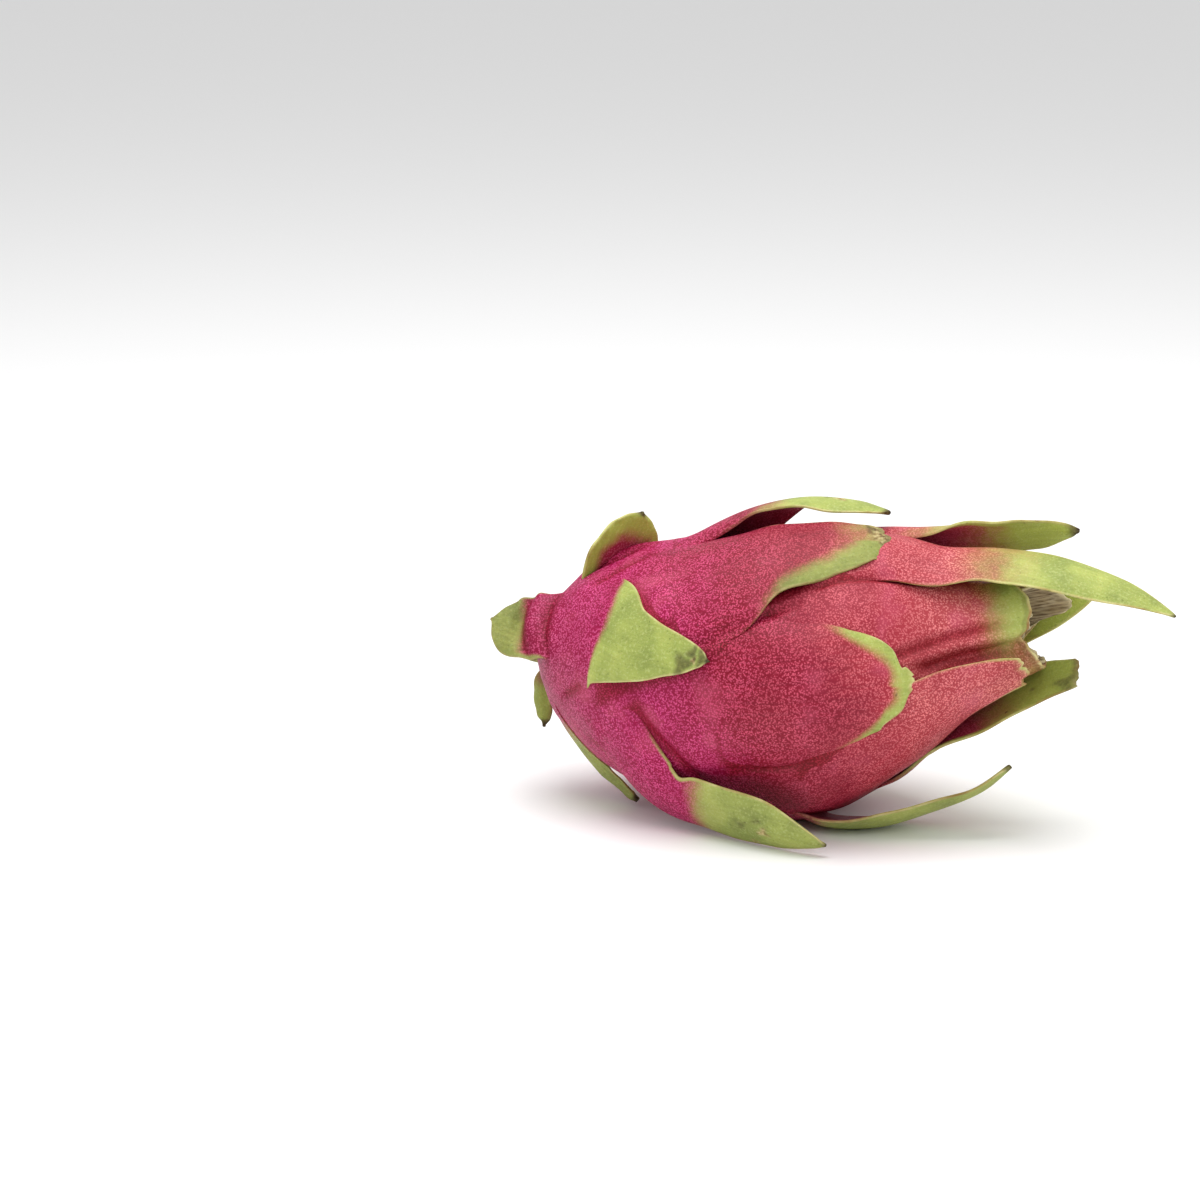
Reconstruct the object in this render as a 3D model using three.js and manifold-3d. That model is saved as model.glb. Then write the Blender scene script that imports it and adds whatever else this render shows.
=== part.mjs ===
// A dragon fruit (pitaya), picked and lying on its side.
//
// The swollen fruit and its open flower tube are one grown piece. Leafy scales stand out of its skin, each with
// its own root. A dried remnant of the flower lines the mouth of the tube, and the cut stub of the stem closes
// the other end.
//
// Frame: millimetres, +Z up, +X along the fruit from the stem end to the flower tube. The origin is the middle
// of the small flat spot that the fruit rests on. "Around" angles turn about the fruit's axis: 0 is the front
// (-Y), 90 the top, 180 the back and 270 the table.
import * as THREE from "three";
import { mergeVertices } from "three/addons/utils/BufferGeometryUtils.js";
import Module from "manifold-3d";

const wasm = await Module();
wasm.setup();

// ---------------------------------------------------------------- driving dimensions
const BELLY_RADIUS = 38.8; // largest radius of the swollen fruit
const BELLY_X = 2; // where that radius is
const STEM_END_X = -67; // the pole at the stem end
const STEM_RISE = 4.5; // how much higher the pole is than the belly's axis
const SHOULDER_LENGTH = 110; // half length of the ellipse that the flower end would follow without its neck
const NECK_START_X = 20; // between these two the shoulder turns into the tube
const NECK_END_X = 74;
const FLAT_SPOT_DEPTH = 0.7; // how much the belly is flattened where it rests
const MOUTH_X = 72; // rim of the flower tube
const TUBE_RADIUS = 12.2; // outside of the flower tube
const TUBE_WALL = 2.2;
const TUBE_DEPTH = 26; // how far the tube is open
const TUBE_RISE = 21; // how much higher the mouth is than the belly's axis
const RIM_SLANT = 0.4; // lean of the rim back towards the stem end, as a slope
const DRY_WALL = 1; // thickness of the dried flower
const DRY_DEPTH = 20; // how far it reaches down the tube
const DRY_OVERTOP = 10; // how far it stands out of the mouth at the back
const STUB_RADIUS = 5; // cut stem
const STUB_LENGTH = 4;
const ROOT_THICKNESS = 3.2; // of a scale, halfway across
const TIP_THICKNESS = 1.5;
const GAP = 0.3; // clearance between pieces that touch

const BODY_SEGMENTS = 48;
const BODY_STATIONS = 17; // rings on either side of the belly
const BLADE_ALONG = 12;
const BLADE_ACROSS = 6;

const { degToRad, lerp: mix, smoothstep: smooth } = THREE.MathUtils;

// ---------------------------------------------------------------- scales
// path  the middle line of the outer face from the root to the tip: [x, around, height above the skin, width
//       of the blade]; the first point is under the skin
// cup   radius across the blade at its tip, hollow side to the fruit; at its root it fits the fruit
// roll  degrees that the blade is turned about its own length at its root and at its tip; positive lifts the
//       edge that lies on the side of the smaller "around" angles off the fruit
const SCALES = [
  {
    name: "stem_scale_front", cup: 30, roll: [0, 0],
    path: [
      [-56, 41, -2.5, 20], [-60.5, 40, 1.5, 21], [-66, 35, 10, 20], [-71.5, 30, 14.8, 17], [-75, 31, 15.4, 10.5],
      [-77.6, 32, 15.8, 2.5],
    ],
  },
  {
    name: "stem_scale_low", cup: 5, roll: [0, 0],
    path: [[-62, -112, -2.5, 8], [-65.3, -110, 2.5, 8], [-66.6, -101, 11, 7], [-66, -95, 14, 5], [-65.8, -92, 16.8, 1.2]],
  },
  {
    name: "stem_scale_back", cup: 25, roll: [0, 0],
    path: [[-56, 190, -2.5, 18], [-60.5, 191, 1.5, 20], [-65.5, 192, 8, 19], [-70, 193, 15, 14], [-73, 194, 18, 5]],
  },
  {
    name: "shoulder_scale_top", cup: 20, roll: [0, 0],
    path: [
      [-45.5, 104, -2.5, 25], [-45.2, 98.5, 0.6, 26], [-43.4, 97, 5, 22], [-40.8, 96.3, 9, 15],
      [-38.3, 95.5, 12, 5],
    ],
  },
  {
    name: "shoulder_scale_front", cup: 32, roll: [0, 0],
    path: [
      [-49, 28, -2.5, 34], [-42, 27, 1, 31], [-33, 24.5, 2.2, 22], [-22, 22, 3.2, 14], [-13, 20.5, 3.8, 7.5],
      [-8, 19.5, 4, 1.5],
    ],
  },
  {
    name: "shoulder_scale_low", cup: 9, roll: [8, 32],
    path: [
      [-63, -58, -2.5, 13], [-60, -63, 0.8, 14], [-53, -69, 2.4, 14], [-46, -72, 4, 11], [-40, -74, 5, 7],
      [-35.8, -74, 5.8, 2],
    ],
  },
  {
    name: "shoulder_scale_back_high", cup: 22, roll: [0, 0],
    path: [[-53, 140, -2.5, 26], [-46, 139, 0.8, 27], [-36, 138, 4.5, 22], [-24, 140, 8, 14], [-13, 143, 10, 2]],
  },
  {
    name: "shoulder_scale_back", cup: 16, roll: [0, 0],
    path: [[-52, 186, -2.5, 20], [-45, 188, 0.8, 22], [-37, 190, 5, 19], [-29, 192, 10, 13], [-22, 194, 16, 2]],
  },
  {
    name: "shoulder_scale_back_low", cup: 20, roll: [0, 0],
    path: [[-52, 238, -2.5, 22], [-45, 237, 0.8, 24], [-35, 235, 2.5, 20], [-24, 233, 4, 13], [-12, 232, 5.5, 2]],
  },
  {
    name: "belly_scale_low", cup: 14, roll: [0, 0],
    path: [
      [-46, -5, -2.5, 18], [-40.8, -14, 0.8, 20.5], [-32.8, -28, 2.5, 21.5], [-24.5, -40, 4.5, 20.5],
      [-11, -40, 7.5, 19],
      [2, -38, 11, 18], [13, -38.5, 14.6, 14], [25, -43, 19, 2],
    ],
  },
  {
    name: "belly_scale_top", cup: 36, roll: [0, 0],
    path: [
      [-36, 53, -2.5, 46], [-26, 56, 1, 52], [-10, 62, 3, 48], [4, 68, 3.4, 29], [18, 74, 3.2, 24],
      [27, 77, 3.4, 18], [33, 79.5, 3.6, 13],
    ],
  },
  {
    name: "belly_scale_crest", cup: 9, roll: [15, -20],
    path: [
      [-33, 108, -2.5, 22], [-26, 106, 1, 24], [-9, 102.5, 8, 22], [5, 99.5, 11.6, 19], [17, 99.4, 10.6, 15],
      [31.5, 100.6, 8.6, 3],
    ],
  },
  {
    name: "belly_scale_front", cup: 27, roll: [0, 0],
    path: [
      [-20, 8, -3, 44], [-8, 8, 0.8, 48], [6, 8.5, 2.6, 48], [20, 8, 3.4, 42], [31.5, 5.5, 3.8, 34],
      [38, 3.5, 3.7, 26], [42.3, 0, 3.5, 16], [45.4, -2, 3.4, 5],
    ],
  },
  {
    name: "belly_scale_back_high", cup: 28, roll: [0, 0],
    path: [
      [-28, 152, -2.5, 42], [-17, 152, 0.6, 44], [0, 152, 2.5, 43], [16, 153, 3.5, 36], [30, 154, 4, 24],
      [42, 156, 5, 4],
    ],
  },
  {
    name: "belly_scale_back_low", cup: 26, roll: [0, 0],
    path: [
      [-22, 217, -2.5, 38], [-11, 217, 0.6, 40], [4, 217, 2.4, 39], [20, 218, 3.4, 32], [34, 219, 3.8, 22],
      [46, 221, 5, 4],
    ],
  },
  {
    name: "belly_scale_under", cup: 6, roll: [-16, -6],
    path: [
      [2, -66, -2.5, 16], [11, -68.5, -0.3, 20], [20, -70.6, 3.4, 22], [34, -71.5, 10, 22],
      [48, -72, 19.4, 16], [61.8, -71.4, 27.2, 10], [70.5, -69, 27.6, 2],
    ],
  },
  {
    name: "crown_scale_front_low", cup: 20, roll: [0, 0],
    path: [
      [4, -44, -2.5, 28], [16, -44, 0.5, 30], [32, -42, 1.2, 31], [44, -35, 3.2, 31], [52, -31, 5.2, 27],
      [62, -30, 6.6, 18], [73, -37, 6.6, 12],
    ],
  },
  {
    name: "crown_scale_top", cup: 7, roll: [0, -10],
    path: [
      [8, 72, -3, 24], [18, 75, 0.8, 25], [33, 77, 3.4, 23], [48, 74, 5.8, 20], [64, 72, 9.2, 18],
      [81, 55, 3.3, 15], [97.5, 0, -2.8, 11], [113, -57, 6, 1.5],
    ],
  },
  {
    name: "crown_scale_crest", cup: 10, roll: [16, 25],
    path: [
      [14, 122, -3, 22], [24, 118, 0.8, 24], [43, 108, 6, 20], [61, 113, 13.4, 15], [72, 116.5, 13.6, 14],
      [83.5, 118.6, 8.7, 2],
    ],
  },
  {
    name: "crown_scale_back", cup: 14, roll: [0, 0],
    path: [
      [28, 182, -3, 24], [37, 181, 0.8, 26], [52, 180, 4.6, 26], [66, 179, 5, 20], [78, 178, 3.6, 14],
      [89, 172, 3.4, 5],
    ],
  },
  {
    name: "crown_scale_back_low", cup: 14, roll: [0, 0],
    path: [
      [15, 234, -2.5, 28], [26, 234, 0.6, 30], [40, 235, 5, 26], [54, 236, 9, 20], [68, 237, 12, 13],
      [81, 238, 14, 2],
    ],
  },
  {
    name: "crown_scale_under", cup: 14, roll: [-10, -28],
    path: [
      [28, -96, -3, 22], [37, -94, 0.8, 25], [48, -92, 1.4, 23], [62, -90, 8.4, 20], [74, -89, 8.3, 16],
      [86, -88, 8.6, 11],
    ],
  },
];

// ---------------------------------------------------------------- the skin
// Radius of the swollen fruit at a station of its axis.
function bodyRadius(x) {
  const halfLength = x < BELLY_X ? BELLY_X - STEM_END_X : SHOULDER_LENGTH;
  const share = (x - BELLY_X) / halfLength;
  const swollen = BELLY_RADIUS * Math.sqrt(Math.max(0, 1 - share * share));
  return mix(swollen, TUBE_RADIUS, smooth(x, NECK_START_X, NECK_END_X));
}

// Height of the fruit's axis at a station: both ends stand higher than the belly.
function axisHeight(x) {
  const belly = BELLY_RADIUS - FLAT_SPOT_DEPTH;
  const towardsMouth = Math.max(0, (x - 5) / (MOUTH_X - 5));
  const towardsStem = Math.max(0, (x + 15) / (STEM_END_X + 15));
  return belly + TUBE_RISE * towardsMouth ** 1.5 + STEM_RISE * towardsStem ** 2;
}

// A point of the skin, or one that stands above it.
function skinPoint(x, around, above = 0) {
  const r = bodyRadius(x) + above;
  return new THREE.Vector3(x, -r * Math.cos(around), axisHeight(x) + r * Math.sin(around));
}

// The direction that leads straight out of the skin.
function skinNormal(x, around) {
  const here = skinPoint(x, around, 1);
  const along = skinPoint(x + 0.5, around, 1).sub(here);
  const round = skinPoint(x, around + 0.02, 1).sub(here);
  return along.cross(round).normalize();
}

// ---------------------------------------------------------------- solids
function solidOf(geometry) {
  const bare = geometry.clone();
  bare.deleteAttribute("normal");
  bare.deleteAttribute("uv");
  const merged = mergeVertices(bare, 1e-3);
  const mesh = new wasm.Mesh({
    numProp: 3,
    vertProperties: new Float32Array(merged.attributes.position.array),
    triVerts: new Uint32Array(merged.index.array),
  });
  return new wasm.Manifold(mesh);
}

function geometryOf(solid) {
  const mesh = solid.getMesh();
  const geometry = new THREE.BufferGeometry();
  geometry.setAttribute("position", new THREE.BufferAttribute(mesh.vertProperties, 3));
  geometry.setIndex(new THREE.BufferAttribute(mesh.triVerts, 1));
  geometry.computeVertexNormals();
  return geometry;
}

// The largest of the bodies that a cut leaves.
function largestBody(solid) {
  return solid.decompose().reduce((a, b) => (a.volume() > b.volume() ? a : b));
}

function moveVertices(geometry, place) {
  const position = geometry.attributes.position;
  const point = new THREE.Vector3();
  for (let i = 0; i < position.count; i++) {
    const moved = place(point.fromBufferAttribute(position, i));
    position.setXYZ(i, moved.x, moved.y, moved.z);
  }
  return geometry;
}

// Everything below the table top is cut away, which leaves the flat resting spot.
function aboveTable(solid) {
  const size = 400;
  const block = new THREE.BoxGeometry(size, size, size);
  block.translate(0, 0, size / 2);
  return solid.intersect(solidOf(block));
}

// Turns a closed profile [radius, station] about the fruit's axis. place() may move each of its points, which
// come as a station, an angle around and a radius.
function turnedSolid(profile, segments, place) {
  const points = profile.map(([radius, station]) => new THREE.Vector2(radius, station));
  const lathe = new THREE.LatheGeometry(points, segments);
  moveVertices(lathe, ({ x, y, z }) => {
    const { station, around, radius } = place(y, Math.atan2(-x, z), Math.hypot(x, z));
    const lean = RIM_SLANT * smooth(station, MOUTH_X - 20, MOUTH_X) * radius * Math.sin(around);
    const height = axisHeight(station) + radius * Math.sin(around);
    return new THREE.Vector3(station - lean, -radius * Math.cos(around), height);
  });
  return solidOf(lathe);
}

// The fruit from the stem pole over the belly to the rim and down to the floor of the tube. grow makes it
// larger all over.
function bodySolid(grow = 0) {
  const profile = [];
  for (let i = 0; i < BODY_STATIONS; i++) {
    const x = mix(STEM_END_X, BELLY_X, 1 - Math.cos((Math.PI / 2) * (i / BODY_STATIONS)));
    profile.push([bodyRadius(x), x]);
  }
  for (let i = 0; i <= BODY_STATIONS; i++) {
    const x = mix(BELLY_X, MOUTH_X, i / BODY_STATIONS);
    profile.push([bodyRadius(x), x]);
  }
  profile[0][0] = 0;
  const bore = TUBE_RADIUS - TUBE_WALL;
  profile.push([bore, MOUTH_X], [bore, MOUTH_X - TUBE_DEPTH + 5]);
  profile.push([bore * 0.8, MOUTH_X - TUBE_DEPTH + 1], [0, MOUTH_X - TUBE_DEPTH]);
  return turnedSolid(profile, BODY_SEGMENTS, (station, around, radius) => {
    if (radius < 1e-6) {
      return { station: station < 0 ? station - grow : station, around, radius: 0 };
    }
    const onSkin = radius > bodyRadius(station) - 0.5 * TUBE_WALL;
    return { station, around, radius: onSkin ? radius + grow : radius - grow };
  });
}

// The frames that a blade is bent along: its middle line, the directions across it and out of its face, and
// its width.
function bladeFrames({ path }) {
  const middle = new THREE.CatmullRomCurve3(path.map(([x, around, above]) => skinPoint(x, degToRad(around), above)));
  const widths = new THREE.CatmullRomCurve3(path.map(([, , , width]) => new THREE.Vector3(width, 0, 0)));
  const [rootX, rootAround] = path[1];
  let face = skinNormal(rootX, degToRad(rootAround));
  const frames = [];
  for (let i = 0; i <= BLADE_ALONG; i++) {
    const s = i / BLADE_ALONG;
    const forward = middle.getTangent(s);
    face = face.clone().addScaledVector(forward, -face.dot(forward)).normalize();
    const across = new THREE.Vector3().crossVectors(face, forward);
    frames.push({ point: middle.getPoint(s), half: 0.5 * widths.getPoint(s).x, across, face, forward });
  }
  return frames;
}

// A blade is a thin box, bent along its path and cupped round the fruit; grow thickens it all over.
function bladeSolid(scale, grow = 0) {
  const { path, cup, roll } = scale;
  const frames = bladeFrames(scale);
  const [x, , above] = path[2];
  const rootBend = Math.max(cup, bodyRadius(x) + above);
  const blade = new THREE.BoxGeometry(2, 1, 1, BLADE_ACROSS, 1, BLADE_ALONG);
  blade.translate(0, -0.5, 0.5);
  moveVertices(blade, ({ x: w, y: through, z: s }) => {
    const { point, half, across, face, forward } = frames[Math.round(s * BLADE_ALONG)];
    const bend = mix(rootBend, cup, s);
    const thickness = mix(ROOT_THICKNESS, TIP_THICKNESS, s) * mix(1, 0.45, w * w);
    const level = bend + grow + through * (thickness + 2 * grow);
    const turn = (w * (half + grow)) / bend;
    const offset = new THREE.Vector3()
      .addScaledVector(across, level * Math.sin(turn))
      .addScaledVector(face, level * Math.cos(turn) - bend)
      .applyAxisAngle(forward, degToRad(-mix(roll[0], roll[1], s)));
    return offset.add(point);
  });
  return solidOf(blade);
}

// ---------------------------------------------------------------- pieces
const FRESH_SKIN = new THREE.MeshStandardMaterial({ color: "#c4315f", roughness: 0.45, metalness: 0 });
const GREEN_BLADE = new THREE.MeshStandardMaterial({ color: "#9fb257", roughness: 0.5, metalness: 0 });
const DRY_PAPER = new THREE.MeshStandardMaterial({ color: "#8f8468", roughness: 0.85, metalness: 0 });
const CUT_WOOD = new THREE.MeshStandardMaterial({ color: "#a9a273", roughness: 0.8, metalness: 0 });

const dragonFruit = new THREE.Group();

function addPiece(name, solid, material) {
  const mesh = new THREE.Mesh(geometryOf(solid), material);
  mesh.name = name;
  dragonFruit.add(mesh);
}

addPiece("fruit_body", aboveTable(bodySolid()), FRESH_SKIN);

// The dried flower: a thin crinkled sleeve in the tube, which stands furthest out of the mouth at the back.
const dryOuter = TUBE_RADIUS - TUBE_WALL - GAP;
const dryInner = dryOuter - DRY_WALL;
const dryProfile = [
  [dryInner, MOUTH_X - DRY_DEPTH], [dryOuter, MOUTH_X - DRY_DEPTH], [dryOuter, MOUTH_X - 2],
  [dryOuter, MOUTH_X], [dryInner, MOUTH_X], [dryInner, MOUTH_X - 2], [dryInner, MOUTH_X - DRY_DEPTH],
];
const driedFlower = turnedSolid(dryProfile, 48, (station, around, radius) => {
  const atRim = smooth(station, MOUTH_X - 2, MOUTH_X);
  const atBack = smooth(Math.cos(around - degToRad(122)), -0.1, 0.9);
  const ragged = 1.2 * Math.sin(7 * around) + 0.7 * Math.sin(16 * around + 1);
  return {
    station: station + atRim * (DRY_OVERTOP * atBack + ragged - 1),
    around,
    radius: radius * mix(1, 0.96 + 0.02 * Math.sin(11 * around), atRim),
  };
});
addPiece("dried_flower_tube", driedFlower, DRY_PAPER);

// The stub of the stem, cut off flat where the fruit was picked.
function stubSolid(grow = 0) {
  const radius = STUB_RADIUS + grow;
  const end = STEM_END_X - STUB_LENGTH - grow;
  const profile = [[0, end], [radius - 1, end], [radius, end + 1], [radius, STEM_END_X + 4], [0, STEM_END_X + 4]];
  return turnedSolid(profile, 24, (station, around, r) => ({ station, around, radius: r }));
}

const clearOfBody = bodySolid(GAP);
addPiece("stem_stub", stubSolid().subtract(clearOfBody), CUT_WOOD);

const cleared = [clearOfBody, stubSolid(GAP)];
for (const scale of SCALES) {
  const cut = cleared.reduce((blade, other) => blade.subtract(other), aboveTable(bladeSolid(scale)));
  addPiece(scale.name, largestBody(cut), GREEN_BLADE);
  cleared.push(bladeSolid(scale, GAP));
}

export default dragonFruit;
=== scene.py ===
import functools
import math

import bmesh
import bpy
import numpy as np
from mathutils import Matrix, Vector


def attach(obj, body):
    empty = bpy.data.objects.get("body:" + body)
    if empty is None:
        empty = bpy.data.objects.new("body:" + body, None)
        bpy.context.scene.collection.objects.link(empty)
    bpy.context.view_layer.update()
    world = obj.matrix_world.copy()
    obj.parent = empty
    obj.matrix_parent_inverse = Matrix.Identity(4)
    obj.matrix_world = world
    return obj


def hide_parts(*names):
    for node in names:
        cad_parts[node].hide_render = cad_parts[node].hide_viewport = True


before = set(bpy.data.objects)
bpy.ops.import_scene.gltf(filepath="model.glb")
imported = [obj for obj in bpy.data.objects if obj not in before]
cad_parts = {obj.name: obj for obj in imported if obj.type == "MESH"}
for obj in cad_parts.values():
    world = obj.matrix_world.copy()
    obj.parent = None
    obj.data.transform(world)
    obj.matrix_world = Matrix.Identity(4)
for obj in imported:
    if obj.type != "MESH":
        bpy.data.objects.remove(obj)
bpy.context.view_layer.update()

# ================================================================ the fruit
# The swollen fruit with its neck and its open flower tube is one grown piece of fleshy peel. The scales
# grow out of low pads on it. In the corners between them the peel is folded and deep crimson, darkened
# further with painted shade, and at the mouth it turns green.
BELLY_RADIUS = 38.8  # largest radius of the fruit
BELLY_X = 2.0  # station of that radius
STEM_END_X = -67.0
STEM_RISE = 4.5  # how much higher the stem end is than the belly's axis
SHOULDER_LENGTH = 110.0  # from the belly to where the swollen fruit would end without its neck
NECK_START_X = 20.0
NECK_END_X = 74.0
FLAT_SPOT_DEPTH = 0.7  # how much of the belly its resting spot cuts off
MOUTH_X = 72.0
TUBE_RADIUS = 12.2
TUBE_WALL = 2.2
TUBE_DEPTH = 26.0
TUBE_RISE = 21.0  # how much higher the mouth is than the belly's axis
RIM_SLANT = 0.4  # lean of the rim back towards the stem end, as a slope
RIM_FLARE = 1.45  # how much wider the bore is at the rim, which makes the rim thin
BODY_RINGS = 118  # on either side of the belly
BODY_STEPS = 320
FOLD_LIP = 0.45  # height of the swollen lips of a fold, as a share of its depth

# The pads that the scales grow from: station and angle of the root, station and angle that the scale points
# to, width, height of the pad, length of its slope on the stem side, and how far the scale covers the peel,
# which is darkened there with painted shade.
PADS = [
    (-60.5, 40, -66, 35, 21, 1.2, 6, 6),
    (-67, -108, -68, -99, 9, 0.4, 4, 4),
    (-60.5, 191, -65.5, 192, 20, 1.0, 6, 6),
    (-45, 98, -45, 88, 28, 2.2, 9, 6),
    (-43, 27, -33, 24.5, 33, 1.3, 12, 34),
    (-61, -65, -52, -70, 16, 1.0, 6, 20),
    (-46, 139, -36, 138, 27, 1.2, 12, 26),
    (-45, 188, -37, 190, 22, 1.2, 12, 16),
    (-45, 237, -35, 235, 24, 1.0, 12, 24),
    (-40, -12, -32, -26, 24, 1.6, 14, 30),
    (-26, 56, -10, 62, 50, 1.4, 18, 58),
    (-26, 106, -9, 102, 24, 1.6, 12, 20),
    (-8, 8, 6, 8.5, 48, 1.5, 20, 54),
    (-17, 152, 0, 152, 44, 1.3, 18, 50),
    (-11, 217, 4, 217, 40, 1.2, 18, 46),
    (11, -68, 20, -70, 20, 0.8, 12, 14),
    (16, -40, 32, -36, 32, 1.5, 16, 50),
    (18, 75, 33, 77, 25, 1.5, 16, 40),
    (24, 118, 43, 108, 24, 1.4, 14, 20),
    (37, 181, 52, 180, 26, 1.2, 14, 30),
    (26, 234, 40, 235, 30, 1.2, 14, 24),
    (37, -94, 48, -92, 25, 1.0, 12, 24),
]

# Folds in the peel: depth, half width, then the stations and angles that the fold runs through.
FOLDS = [
    (1.1, 1.5, [(36, 12), (41, 16), (51, 20), (61, 22), (72, 17)]),
    (1.5, 1.7, [(43, 7), (48, 3), (56, 2), (66, -8), (73, -19)]),
    (0.9, 1.1, [(14, 52), (20, 55), (28, 58), (39, 61), (47, 64)]),
    (1.2, 1.6, [(-13, 24), (-10.7, 26.5), (-1.5, 34.4), (4.8, 40.7), (13, 46)]),
    (0.9, 1.9, [(-34, 3), (-30, -5.5), (-26, -13), (-20, -21), (-15, -30), (-11, -38)]),
    (1.3, 1.4, [(-60, 58), (-62, 37), (-65, 5)]),
    (1.3, 1.4, [(-55, 78), (-50, 84), (-43, 87), (-34, 92)]),
    (0.8, 1.3, [(-50, 62), (-44, 68), (-38, 74), (-30, 80)]),
    (0.8, 1.2, [(-46, 2), (-50, -6), (-54, -16)]),
    (0.7, 0.9, [(40, -16), (34, -21.8), (29.7, -23.6), (15, -23.3), (5, -24.7), (-8, -28.3)]),
    (0.9, 1.4, [(30, -33), (46, -14), (54, -4), (64, -14), (73, -34)]),
    (1.0, 1.8, [(34, 150), (46, 146), (60, 140), (72, 138)]),
    (1.0, 1.8, [(44, 205), (56, 208), (72, 214)]),
    (0.9, 1.6, [(40, 262), (54, 266), (72, 262)]),
    (1.0, 2.0, [(-30, 172), (-18, 180), (-4, 184)]),
    (1.0, 2.0, [(-36, 214), (-24, 208), (-12, 196)]),
    (0.9, 1.8, [(-34, 118), (-20, 122), (-6, 124), (8, 128)]),
    (0.9, 1.8, [(-6, 178), (12, 184), (30, 186)]),
    (1.0, 1.6, [(-64, 150), (-62, 175), (-65, 215)]),
]


def ease(value, low, high):
    share = np.clip((value - low) / (high - low), 0, 1)
    return share * share * (3 - 2 * share)


def mix(a, b, share):
    return a + (b - a) * share


def girth(x):
    """Radius of the fruit at a station of its axis."""
    half_length = np.where(x < BELLY_X, BELLY_X - STEM_END_X, SHOULDER_LENGTH)
    share = (x - BELLY_X) / half_length
    swollen = BELLY_RADIUS * np.sqrt(np.clip(1 - share * share, 0, None))
    return mix(swollen, TUBE_RADIUS, ease(x, NECK_START_X, NECK_END_X))


def axis_height(x):
    """Height of the fruit's axis at a station: both ends stand higher than the belly."""
    towards_mouth = np.clip((x - 5) / (MOUTH_X - 5), 0, None)
    towards_stem = np.clip((x + 15) / (STEM_END_X + 15), 0, None)
    belly = BELLY_RADIUS - FLAT_SPOT_DEPTH
    return belly + TUBE_RISE * towards_mouth**1.5 + STEM_RISE * towards_stem**2


def peel_point(x, around, above=0.0):
    """A point of the smooth fruit, or one that stands above it; around is in radians."""
    x, around = np.asarray(x, float), np.asarray(around, float)
    reach = girth(x) + above
    return np.stack([x + 0 * around, -reach * np.cos(around), axis_height(x) + reach * np.sin(around)], -1)


def peel_place(points):
    """The station, the angle around and the height above the smooth fruit of some points."""
    x = points[..., 0]
    rise = points[..., 2] - axis_height(x)
    return x, np.arctan2(rise, -points[..., 1]), np.hypot(rise, points[..., 1]) - girth(x)


def unit(vectors):
    return vectors / np.linalg.norm(vectors, axis=-1, keepdims=True)


def peel_normal(x, around):
    here = peel_point(x, around, 1)
    return unit(np.cross(peel_point(x + 0.5, around, 1) - here, peel_point(x, around + 0.02, 1) - here))


def off_line(points, line):
    """How far each point is from a line drawn on the peel, and how far along the line it lies, 0 to 1."""
    nearest, along = np.full(len(points), 1e9), np.zeros(len(points))
    marks = peel_point(*np.array([(x, math.radians(around)) for x, around in line]).T)
    for i, (a, b) in enumerate(zip(marks[:-1], marks[1:])):
        t = np.clip((points - a) @ (b - a) / ((b - a) @ (b - a)), 0, 1)
        away = np.linalg.norm(points - a - t[:, None] * (b - a), axis=1)
        along = np.where(away < nearest, (i + t) / (len(marks) - 1), along)
        nearest = np.minimum(nearest, away)
    return nearest, along


def peel_relief(x, around):
    """Height of the real peel above the smooth fruit, and how dark its painted shade is in the folds and
    under the scales, deep crimson, 0 to 1.
    """
    shape = np.shape(x)
    x, around = np.ravel(x), np.ravel(around)
    points = peel_point(x, around)
    # The fruit is not quite round: it swells and sinks by half a millimetre, and less at its two ends.
    height = 0.45 * np.sin(3 * around + x / 15 + 0.7) + 0.3 * np.sin(5 * around - x / 10 + 2.1)
    height *= ease(x, STEM_END_X, -50) * (1 - 0.6 * ease(x, 30, 72))
    crimson_shade = np.zeros(len(points))
    for root_x, root_around, to_x, to_around, width, rise, slope, cover in PADS:
        root = peel_point(root_x, math.radians(root_around))
        out = peel_normal(root_x, math.radians(root_around))
        ahead = peel_point(to_x, math.radians(to_around)) - root
        ahead = unit(ahead - (ahead @ out) * out)
        u = (points - root) @ ahead
        v = np.abs((points - root) @ np.cross(out, ahead))
        near = (points - root) @ out > -0.9 * BELLY_RADIUS
        side = 1 - ease(v, 0.22 * width, 0.62 * width)
        height += near * rise * side * ease(u, -slope, -0.1 * slope) * (1 - ease(u, 1, 8))
        # Painted shade: the peel under the near part of each scale is darkened deep crimson.
        under = 0.5 * width * (1 - np.clip(u / cover, 0, 1)) + 2.5
        covered = (1 - ease(v, under - 2, under + 2)) * ease(u, 0, 4) * (1 - ease(u, cover - 4, cover))
        crimson_shade = np.maximum(crimson_shade, near * covered)
    for depth, half_width, line in FOLDS:
        away, along = off_line(points, line)
        ends = ease(along, 0, 0.25) * (1 - 0.7 * ease(along, 0.75, 1))
        lips = FOLD_LIP * np.exp(-((away / half_width / 2.4) ** 2))
        groove = (1 + FOLD_LIP) * np.exp(-((away / half_width) ** 2))
        height += ends * depth * (lips - groove)
        # Painted shade along each fold, deep crimson.
        crimson_shade = np.maximum(crimson_shade, ends * np.exp(-((away / half_width / 1.3) ** 2)))
    return height.reshape(shape), crimson_shade.reshape(shape)


def lobe(around, middle, width):
    """1 in the middle of a lobe of the rim and 0 away from it; both in degrees."""
    return np.exp(-2 * (1 - np.cos(around - math.radians(middle))) / math.radians(width) ** 2)


def rim_shift(around):
    """How far the rim of the tube stands out of its plane: torn and curled where the flower dried."""
    torn = 4.4 * lobe(around, 34, 26) - 1.6 * lobe(around, -10, 8) - 7 * lobe(around, 226, 24)
    return torn + 0.35 * np.sin(7 * around + 1) + 0.2 * np.sin(17 * around)


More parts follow.
